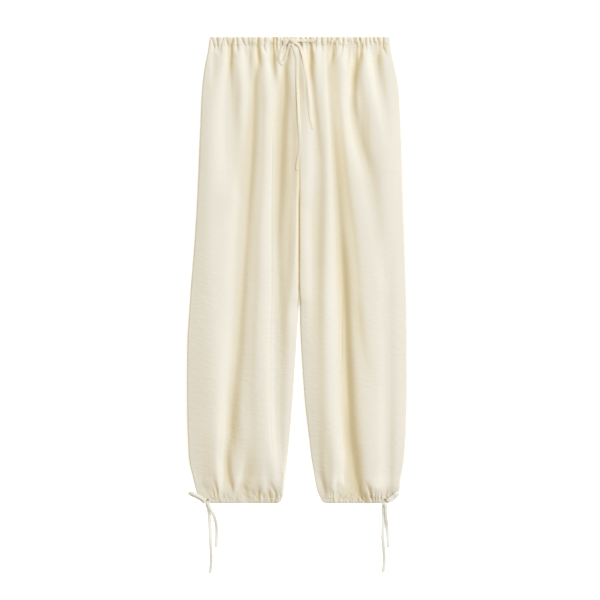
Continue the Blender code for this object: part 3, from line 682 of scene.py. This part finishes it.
def makeCrepe(name, values):
    # ivory cotton crepe, woven from hard-twisted thread: matte, pebbled and finely crinkled across the leg
    material = bpy.data.materials.new(name)
    material.use_nodes = True
    tree = material.node_tree
    place = addNode(tree, "ShaderNodeTexCoord").outputs["Object"]
    crinklePlace = addMapping(tree, place, values["crinkleRunMm"], values["crinklePitchMm"])
    crinkles = addNoise(tree, crinklePlace, values["crinkleNoise"])
    threadPlace = addMapping(tree, place, values["threadMm"] * 2, values["threadMm"])
    threads = addNoise(tree, threadPlace, values["threadNoise"])
    clouds = addNoise(tree, place, values["cloudNoise"])
    shade = addNode(tree, "ShaderNodeAttribute", settings={"attribute_name": "shade"}).outputs["Fac"]
    # painted shade: where the shade attribute is high, the colour turns to a warmer, darker tone for the shade
    # and bounced light behind folds
    paintedShadeMix = addNode(tree, "ShaderNodeMix", {
        "Factor": addRange(tree, shade, *values["paintedShadeRange"], 0.0, values["paintedShadeStrength"]),
        "A": linearColour(values["colour"]), "B": linearColour(values["paintedShadeColour"])}, {"data_type": "RGBA"})
    # painted shade: darker towards the hem, for the many tiny shadows of the gathered cloth there
    alongY = addNode(tree, "ShaderNodeSeparateXYZ", {"Vector": place}).outputs["Y"]
    start, stop = (hemEnd + distance * mm for distance in values["hemShadeMm"])
    paintedHemShade = addRange(tree, alongY, start, stop, values["hemShadeTone"], 1.0)
    tone = addRange(tree, clouds, *values["cloudTone"])
    for factor in (addRange(tree, threads, *values["threadTone"]), paintedHemShade):
        product = addNode(tree, "ShaderNodeMath", {0: tone, 1: factor}, {"operation": "MULTIPLY"})
        tone = product.outputs["Value"]
    coloured = addNode(tree, "ShaderNodeVectorMath", {0: paintedShadeMix.outputs["Result"], "Scale": tone},
                       {"operation": "SCALE"})
    crinkleBump = addNode(tree, "ShaderNodeBump", {
        "Height": crinkles, "Distance": values["crinkleBump"], "Strength": 1.0})
    threadBump = addNode(tree, "ShaderNodeBump", {
        "Height": threads, "Distance": values["threadBump"], "Strength": 1.0,
        "Normal": crinkleBump.outputs["Normal"]})
    setInputs(tree, tree.nodes["Principled BSDF"], {
        "Base Color": coloured.outputs["Vector"], "Normal": threadBump.outputs["Normal"],
        "Roughness": values["roughness"], "Sheen Weight": values["sheen"],
        "Sheen Roughness": values["sheenRoughness"], "Specular IOR Level": values["specular"]})
    return material


crepeCloth = makeCrepe("ivoryCottonCrepe", crepe)
# the ties: the same cloth, a little paler and sewn into a narrow tube, so the crinkle is finer
tieCloth = makeCrepe("ivoryCottonTieTube", {
    **crepe, "colour": "#E8E6DB", "paintedShadeColour": "#EAD8B4", "crinklePitchMm": 1.6, "crinkleRunMm": 3.0,
    "crinkleBump": 0.0001, "hemShadeTone": 1.0})
# sewing thread: smooth spun cotton, a shade deeper than the cloth
threadCotton = makeCrepe("spunCottonThread", {
    **crepe, "colour": "#E4DAC0", "threadMm": 0.4, "crinkleBump": 0.00003, "paintedShadeStrength": 0})
# painted shade: the same cloth coloured dark for the shade inside the casing, where hardly any light gets
shadedCotton = makeCrepe("unlitCottonInsideTheCasing", {
    **crepe, "colour": "#A8956F", "paintedShadeColour": "#9A8662"})
print("materials made")


# fronts, casings and backs

clothForm = {"edgeFade": 6, "seamFade": 8, "lowestUnder": 0.2}


def makeFront(leg):
    form = clothForm
    x, drop = sheetGrid(leg, grids["panelStops"], grids["panelCounts"], grids["panelColumns"])
    top = frontSurface(leg, x, drop)
    shade = shadeFromKey(leg, x, drop, top)
    inner = np.minimum(x - x[:, :1], x[:, -1:] - x)
    relief = crinkleRelief(x, drop, 31 if leg == "right" else 41)
    for distance, fade in ((inner, "edgeFade"), (drop - waistSeam, "seamFade"), (hemSeam - drop, "seamFade")):
        relief = relief * ease(distance / form[fade])
    top = top + relief
    under = np.maximum(top - frontForm["thickness"], form["lowestUnder"])
    obj = closedSheet(f"front{leg.capitalize()}Leg", x, drop, top, under, shade)
    return dress(obj, f"front_{leg}_leg", crepeCloth)


# the backs lie on the floor, with long low creases and the gathers of both ends
backForm = {
    "drift": 6, "driftCell": (90, 130), "creaseCell": (19, 240), "creaseRise": 1.2, "creaseSharpness": 1.5,
    "creaseFade": 60, "gatherCell": (3.4, 160), "gatherRise": 0.7, "gatherReach": 30, "crinkle": 0.05,
    "edgeFade": 10, "highest": 2,
}


def backSurface(x, drop, seed):
    form = backForm
    drift = form["drift"] * cellNoise(x, drop, form["driftCell"], seed)
    crease = np.clip(cellNoise(x + drift, drop, form["creaseCell"], seed + 1), 0, 1)
    crease = crease ** form["creaseSharpness"]
    fromEnds = np.minimum(np.abs(drop - waistSeam), np.abs(hemSeam - drop))
    gather = np.clip(cellNoise(x + drift / 3, drop, form["gatherCell"], seed + 2), 0, 1)
    gather = form["gatherRise"] * gather * np.exp(-fromEnds / form["gatherReach"])
    crinkled = form["crinkle"] * np.clip(crinkleRelief(x, drop, seed + 5), -1, 1)
    return form["creaseRise"] * crease * ease(fromEnds / form["creaseFade"]) + gather + crinkled


def makeBack(leg):
    x, drop = sheetGrid(leg, (waistSeam, hemSeam), grids["backCounts"], grids["backColumns"])
    inner = np.minimum(x - x[:, :1], x[:, -1:] - x)
    rise = backSurface(x, drop, 51 if leg == "right" else 61) * ease(inner / backForm["edgeFade"])
    rise = np.clip(rise, 0, backForm["highest"])
    obj = closedSheet(f"back{leg.capitalize()}Leg", x, drop, rise + frontForm["thickness"], rise, rise * 0)
    return dress(obj, f"back_{leg}_leg", crepeCloth)


# casings: how far in the scalloped edge reaches, the front's least height and its thickness, and the back's
casingForm = {
    "scallopReach": 8, "smoothing": 20, "deepest": 3, "lowestTop": 1.4, "thickness": 1.6, "lowestUnder": 1.2,
    "backHeight": 0.85, "backRise": 0.3, "backCell": (3.6, 40), "backFade": 3,
}


def makeCasing(name, node, leg, x, drop, top, atTop):
    # a front casing over its back casing, with the outer edge scalloped by the gathers
    form = casingForm
    fromEdge = drop if atTop else length - drop
    hills, reach = top[len(top) // 2], form["smoothing"]
    around = np.convolve(np.pad(hills, reach, "edge"), np.ones(2 * reach + 1) / (2 * reach + 1), "valid")
    dents = np.clip(around - hills, 0, form["deepest"])
    inward = gatherForm["scallop"] * dents[None, :] * (1 - np.clip(fromEdge / form["scallopReach"], 0, 1))
    moved = drop + (inward if atTop else -inward)
    under = np.maximum(top - form["thickness"], form["lowestUnder"])
    shade = shadeFromKey(leg, x, drop, top)
    front = closedSheet(f"{name}Front", x, moved, np.maximum(top, form["lowestTop"]), under, shade)
    gathered = form["backRise"] * np.clip(cellNoise(x, drop, form["backCell"], 77), -0.5, 1)
    gathered = form["backHeight"] + gathered * ease(fromEdge / form["backFade"])
    back = closedSheet(f"{name}Back", x, drop, gathered, gathered * 0, gathered * 0)
    return (dress(front, f"{node}_front", crepeCloth),
            dress(back, f"{node}_back", crepeCloth))


def makeWaistCasing():
    right, left = (sheetGrid(leg, (0, waistSeam), grids["waistCounts"], grids["panelColumns"])
                   for leg in ("right", "left"))
    right, left = (*right, frontSurface("right", *right)), (*left, frontSurface("left", *left))
    x, drop, top = (np.concatenate((a[:, :-1], b), axis=1) for a, b in zip(right, left))
    return makeCasing("waistCasing", "waist_casing", "right", x, drop, top, True)


def makeHemCasing(leg):
    x, drop = sheetGrid(leg, (hemSeam, length), grids["hemCounts"], grids["panelColumns"])
    name, node = f"hemCasing{leg.capitalize()}", f"hem_casing_{leg}"
    return makeCasing(name, node, leg, x, drop, frontSurface(leg, x, drop), False)


sheets = {}
for leg in ("right", "left"):
    sheets[f"front {leg}"] = makeFront(leg)
    sheets[f"back {leg}"] = makeBack(leg)
    sheets[f"hem {leg} front"], sheets[f"hem {leg} back"] = makeHemCasing(leg)
sheets["waist front"], sheets["waist back"] = makeWaistCasing()
print("panels and casings made")


# sewing that shows: the casings' stitch lines and the buttonhole eyelets that the ties come out of

stitchForm = {
    "pitch": 3.2, "long": 2.3, "radius": 0.22, "sides": 6, "sink": 0.1, "clear": 2,
    "profile": ((0, 0.45), (0.15, 0.9), (0.5, 1), (0.85, 0.9), (1, 0.45)),
}


def addStitches(name, ends):
    # each stitch is a short rounded thread between two points, in mm as x, y, z
    count, profile = stitchForm["sides"], stitchForm["profile"]
    points, faces = [], []
    for start, stop in ends:
        start, stop = np.array(start, float), np.array(stop, float)
        along = (stop - start) / np.linalg.norm(stop - start)
        side = np.cross(along, (0.0, 0.0, 1.0))
        side /= np.linalg.norm(side)
        up = np.cross(side, along)
        first = len(points)
        for share, size in profile:
            middle = start + (stop - start) * share
            for j in range(count):
                turn = 2 * math.pi * j / count
                out = math.cos(turn) * side + math.sin(turn) * up
                points.append(middle + stitchForm["radius"] * size * out)
        last = first + (len(profile) - 1) * count
        for a in range(first, last, count):
            b = a + count
            faces += [(a + j, b + j, b + (j + 1) % count, a + (j + 1) % count) for j in range(count)]
        faces.append(tuple(first + j for j in range(count)))
        faces.append(tuple(last + j for j in reversed(range(count))))
    dress(makePiece(name, points, faces, np.zeros(len(points))), None, threadCotton)


def heightUnder(x, drop):
    # the cloth under each point, or the floor beside it
    x, drop = np.broadcast_arrays(np.asarray(x, float), np.asarray(drop, float))
    found = np.zeros(x.shape)
    inside = np.clip(drop, 0, length)
    for leg in ("right", "left"):
        over = (drop >= 0) & (drop <= length)
        over = over & (x >= edgeAt(leg, "low", inside)) & (x <= edgeAt(leg, "high", inside))
        found = np.where(over, frontSurface(leg, x, inside), found)
    return found


def surfacePoint(x, drop, lift):
    return (x, length / 2 - drop, float(heightUnder(x, drop)) + lift)


def stitchLine(name, lowLeg, highLeg, drop):
    low, high = float(edgeAt(lowLeg, "low", drop)), float(edgeAt(highLeg, "high", drop))
    lift = stitchForm["radius"] - stitchForm["sink"]
    ends = []
    x = low + stitchForm["clear"]
    while x + stitchForm["long"] < high - stitchForm["clear"]:
        ends.append((surfacePoint(x, drop, lift), surfacePoint(x + stitchForm["long"], drop, lift)))
        x += stitchForm["pitch"]
    addStitches(name, ends)


stitchLine("waistCasingStitches", "right", "left", frontForm["waistCasing"] - frontForm["stitchInset"])
for leg in ("right", "left"):
    stitchLine(f"hemCasing{leg.capitalize()}Stitches", leg, leg,
               length - frontForm["hemCasing"] + frontForm["stitchInset"])

# each eyelet: x, drop, half-width and half-height of the slit, and its turn in degrees
eyelets = {
    "waistEyeletRight": (-30.5, 12.4, 0.8, 3.0, 0), "waistEyeletLeft": (37.6, 11.4, 0.8, 3.0, 0),
    "hemEyeletRight": (-187.5, 972.6, 0.9, 3.0, 55), "hemEyeletLeft": (184.5, 972.2, 0.9, 3.0, -55),
}
# each dark disc of painted shade over a slit: its rim lies a little outside the slit and over the cloth, and
# its middle lies lower
eyeletForm = {
    "rim": 1.1, "stitches": 26, "lift": 0.3, "edge": (0.1, 0.12), "middle": (-0.6, 0.02), "thickness": 0.5,
}


def makeEyelet(name, x, drop, halfWidth, halfHeight, turn):
    form, count = eyeletForm, eyeletForm["stitches"]
    c, s = math.cos(math.radians(turn)), math.sin(math.radians(turn))
    angles = [2 * math.pi * i / count for i in range(count)]

    def place(angle, grow, lift):
        a, b = (halfWidth + grow) * math.cos(angle), (halfHeight + grow) * math.sin(angle)
        return surfacePoint(x + a * c - b * s, drop + a * s + b * c, lift)

    addStitches(name + "Stitches", [
        (place(angle, 0, form["lift"]), place(angle, form["rim"], form["lift"] / 2)) for angle in angles])
    rim = [place(angle, *form["edge"]) for angle in angles]
    middle = [place(angle, halfWidth * form["middle"][0], form["middle"][1]) for angle in angles]
    under = [(px, py, pz - form["thickness"]) for px, py, pz in rim]
    pairs = [(i, (i + 1) % count) for i in range(count)]
    faces = [(i, k, count + k, count + i) for i, k in pairs]
    faces.append(tuple(count + i for i in range(count)))
    faces += [(k, i, 2 * count + i, 2 * count + k) for i, k in pairs]
    faces.append(tuple(2 * count + i for i in reversed(range(count))))
    # painted shade: a dark disc stands for the shade in the eyelet's hole
    paintedHoleShade = makePiece(name + "HoleShade", rim + middle + under, faces, np.ones(3 * count), smooth=False)
    dress(paintedHoleShade, None, shadedCotton)


for name, values in eyelets.items():
    makeEyelet(name, *values)
print("stitches and eyelets made")


# ties: routes follow the part's and run on into the knots, in mm as x, drop and how far above what is under.
# painted bounce light: each end's share of the garment's warm bounced light is painted into the ties on it.

tie = {
    "diameter": 5.0, "width": 6.8, "thickness": 1.5, "step": 1.2, "sides": 16, "sunk": 0.9, "onFloor": 0.02,
    "feelers": 12, "feelerShares": (0, 0.4, 0.8), "restRounds": 2, "liftRounds": 6,
    "pucker": 0.07, "puckerStep": 2.1, "puckerTurn": 1.3, "squareness": (0.95, 1.05), "endSize": 0.72,
    "endSteps": 2.0, "twist": 0.35, "twistWaves": 1.3, "twistShift": 0.37, "twistFade": (5, 8),
    "paintedBounce": {"waist": 0.3, "hem": 0.0},
}
routes = {
    "waist_tie_strand_left": ((-30, 12.6, 0), (-23, 11.6, 0), (-16.4, 10.6, 0), (-13, 10.4, 0)),
    "waist_tie_strand_right": ((-7, 9.8, 0), (-3.6, 9.6, 0), (4, 9.5, 0), (18, 10, 0), (37, 11.3, 0)),
    "waist_tie_loop": ((-12, 7.2, 2.2), (-17, 8.6, 2.2), (-22.2, 13.8, 2.2), (-30.2, 23.6, 1),
        (-35.8, 36.8, 0), (-38.4, 47, 0), (-37, 53.6, 0), (-32.2, 57.6, 0), (-28.4, 54.6, 0),
        (-24, 42.8, 0), (-19.2, 28.4, 0.5), (-15, 17, 2), (-12, 12, 2.2)),
    "waist_tie_tail_long": ((-11, 12.5, 1), (-9.6, 17, 0.5), (-5, 32.5, 0), (-1.4, 49.4, 0),
        (-1.2, 66.2, 0), (1.2, 104, 0), (4.1, 169, 0), (5.1, 232, 0), (1.8, 261.5, 0), (0.5, 282, 0)),
    "waist_tie_tail_short": ((-8, 11.6, 2.2), (-4, 13.8, 2), (4, 20, 0.8), (10.8, 34.7, 0), (15.4, 55.7, 0),
        (19, 83, 0), (22.2, 125, 0), (27.6, 165, 0), (33, 196.5, 0)),
    "hem_tie_right_loop": ((-192, 975, 5.2), (-198, 969.4, 5.2), (-212.3, 961.4, 5.2), (-220.5, 958, 5.2),
        (-225.4, 959, 2.6), (-221.5, 961.6, 0), (-213, 965, 0), (-199, 972.8, 0), (-193.2, 978.6, 0)),
    "hem_tie_right_tail_long": ((-189.5, 979.5, 4.6), (-187, 985.4, 4.6), (-183.8, 1003, 0),
        (-182.6, 1026, 0), (-181.5, 1051, 0), (-180.3, 1074, 0), (-180.1, 1108, 0), (-181.8, 1126.5, 0)),
    "hem_tie_right_tail_short": ((-188, 979.5, 6), (-184, 986, 6), (-179.4, 994, 4), (-173.6, 1007, 0.4),
        (-169.4, 1024, 0), (-167.9, 1043, 0), (-169.4, 1072, 0)),
    "hem_tie_left_loop": ((188.6, 974.6, 5.2), (194, 970.4, 5.2), (201, 965.4, 4.6), (207.5, 959.6, 4.2),
        (211.8, 957.6, 2.2), (211.4, 960.8, 0), (203.2, 967.4, 0), (196.4, 972.2, 0), (190.2, 978, 0)),
    "hem_tie_left_tail_long": ((183.5, 979.5, 4.6), (182.2, 985.2, 4.6), (182, 1004, 0), (181.6, 1020, 0),
        (180.9, 1056, 0), (182.4, 1078, 0), (183.4, 1108, 0), (181.1, 1124.5, 0)),
    "hem_tie_left_tail_short": ((184.5, 979.5, 6), (186.2, 985, 6), (187, 994, 4), (187.4, 1013, 2.6),
        (189.6, 1034, 0), (191.6, 1053, 0), (191.8, 1073, 0)),
}


def tiePath(route):
    route = np.array(route, float)
    run = np.concatenate(([0], np.cumsum(np.hypot(*np.diff(route[:, :2], axis=0).T))))
    along = np.linspace(0, run[-1], max(6, round(run[-1] / tie["step"]) + 1))
    x, drop = smoothRead(run, route[:, 0], along), smoothRead(run, route[:, 1], along)
    lift = np.interp(along, run, route[:, 2])
    reach = tie["width"] / 2
    under = np.array([heightUnder(x + share * reach * math.cos(turn), drop + share * reach * math.sin(turn))
                      for turn in np.linspace(0, 2 * np.pi, tie["feelers"], endpoint=False)
                      for share in tie["feelerShares"]])
    # the soft tube follows the cloth and bridges its narrow hollows
    rest = np.maximum(under.mean(axis=0), under.max(axis=0) - tie["sunk"])
    for _ in range(tie["restRounds"]):
        rest[1:-1] = np.maximum(rest[1:-1], (rest[:-2] + rest[2:]) / 2)
    rest = rest + tie["thickness"] / 2
    for _ in range(tie["liftRounds"]):
        lift[1:-1] = (lift[:-2] + 2 * lift[1:-1] + lift[2:]) / 4
    return np.column_stack((x, length / 2 - drop, rest + lift))


def sweepTie(name, path, halfWidth, halfHeight, turns, sides, shade, seed, closed=False):
    # a flattened sewn tube along the path, with small puckers
    count, along = len(path), np.arange(len(path))
    if closed:
        tangent = np.roll(path, -1, axis=0) - np.roll(path, 1, axis=0)
        taper = np.ones(count)
    else:
        tangent = np.gradient(path, axis=0)
        fromEnds = np.minimum(along, count - 1 - along)
        taper = tie["endSize"] + (1 - tie["endSize"]) * ease(fromEnds / tie["endSteps"])
    tangent /= np.linalg.norm(tangent, axis=1)[:, None]
    side = np.cross((0.0, 0.0, 1.0), tangent)
    side /= np.maximum(np.linalg.norm(side, axis=1), 1e-6)[:, None]
    up = np.cross(tangent, side)
    around = np.linspace(0, 2 * np.pi, sides, endpoint=False)
    pucker = softNoise(along[:, None] / tie["puckerStep"], around[None, :] * tie["puckerTurn"], 70 + seed)
    pucker = 1 + tie["pucker"] * pucker
    squareA, squareB = tie["squareness"]
    a = np.sign(np.cos(around)) * np.abs(np.cos(around)) ** squareA * halfWidth
    b = np.sign(np.sin(around)) * np.abs(np.sin(around)) ** squareB * halfHeight
    c, s = np.cos(turns)[:, None], np.sin(turns)[:, None]
    offSide = (a[None, :] * c - b[None, :] * s) * pucker * taper[:, None]
    offUp = (a[None, :] * s + b[None, :] * c) * pucker * taper[:, None]
    ring = path[:, None, :] + offSide[..., None] * side[:, None, :] + offUp[..., None] * up[:, None, :]
    ring[..., 2] = np.maximum(ring[..., 2], tie["onFloor"])     # it lies on the floor, not in it
    points = ring.reshape(-1, 3)
    faces = []
    for i in range(count if closed else count - 1):
        for j in range(sides):
            k, m = (j + 1) % sides, (i + 1) % count
            faces.append((i * sides + j, i * sides + k, m * sides + k, m * sides + j))
    if not closed:
        faces.append(tuple(range(sides))[::-1])
        faces.append(tuple((count - 1) * sides + j for j in range(sides)))
    return makePiece(name, points, faces, np.full(len(points), shade))


def pieceName(node):
    first, *others = node.split("_")
    return first + "".join(word.capitalize() for word in others)


def makeTie(node, seed):
    path = tiePath(routes[node])
    along = np.linspace(0, 1, len(path))
    startFade, stopFade = tie["twistFade"]
    turns = tie["twist"] * np.sin(2 * np.pi * (tie["twistWaves"] * along + seed * tie["twistShift"]))
    turns = turns * ease(along * startFade) * ease((1 - along) * stopFade)
    obj = sweepTie(pieceName(node), path, tie["width"] / 2, tie["thickness"] / 2, turns, tie["sides"],
                   tie["paintedBounce"][node.split("_")[0]], seed)
    return dress(obj, node, tieCloth), path


knotForm = {"flatness": 0.68, "strand": 2.6, "points": 72, "sides": 12, "seed": 5}


def makeKnot(node):
    # a tight overhand knot: the tie wound through itself, in the space of its solid but pressed flatter
    low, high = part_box(node)
    half = (np.array(high) - np.array(low)) / 2 / mm
    half[2] *= knotForm["flatness"]
    centre = np.array([(low[0] + high[0]) / 2, (low[1] + high[1]) / 2, low[2]]) / mm + (0, 0, half[2])
    strand = knotForm["strand"]
    t = np.linspace(0, 2 * np.pi, knotForm["points"], endpoint=False)
    path = np.column_stack((np.sin(t) + 2 * np.sin(2 * t), np.cos(t) - 2 * np.cos(2 * t), -np.sin(3 * t)))
    path = path / np.abs(path).max(axis=0) * (half - strand) + centre
    obj = sweepTie(pieceName(node), path, strand, strand, np.zeros(len(path)), knotForm["sides"],
                   tie["paintedBounce"][node.split("_")[0]], knotForm["seed"], closed=True)
    return dress(obj, node, tieCloth)


ties = {node: makeTie(node, seed) for seed, node in enumerate(routes)}
knots = {node: makeKnot(node) for node in ("waist_tie_knot", "hem_tie_right_knot", "hem_tie_left_knot")}
print("ties made")


farEnds = {"loop": "object", "strand": "object", "tail": "bare"}
for node, (obj, path) in ties.items():
    if node == "waist_tie_strand_left":
        continue
    kind = next(word for word in farEnds if word in node)
    extra = [knots[node.replace("_loop", "_knot")]] if kind == "loop" else []
    if node == "waist_tie_loop":
        extra.append(ties["waist_tie_strand_left"][0])
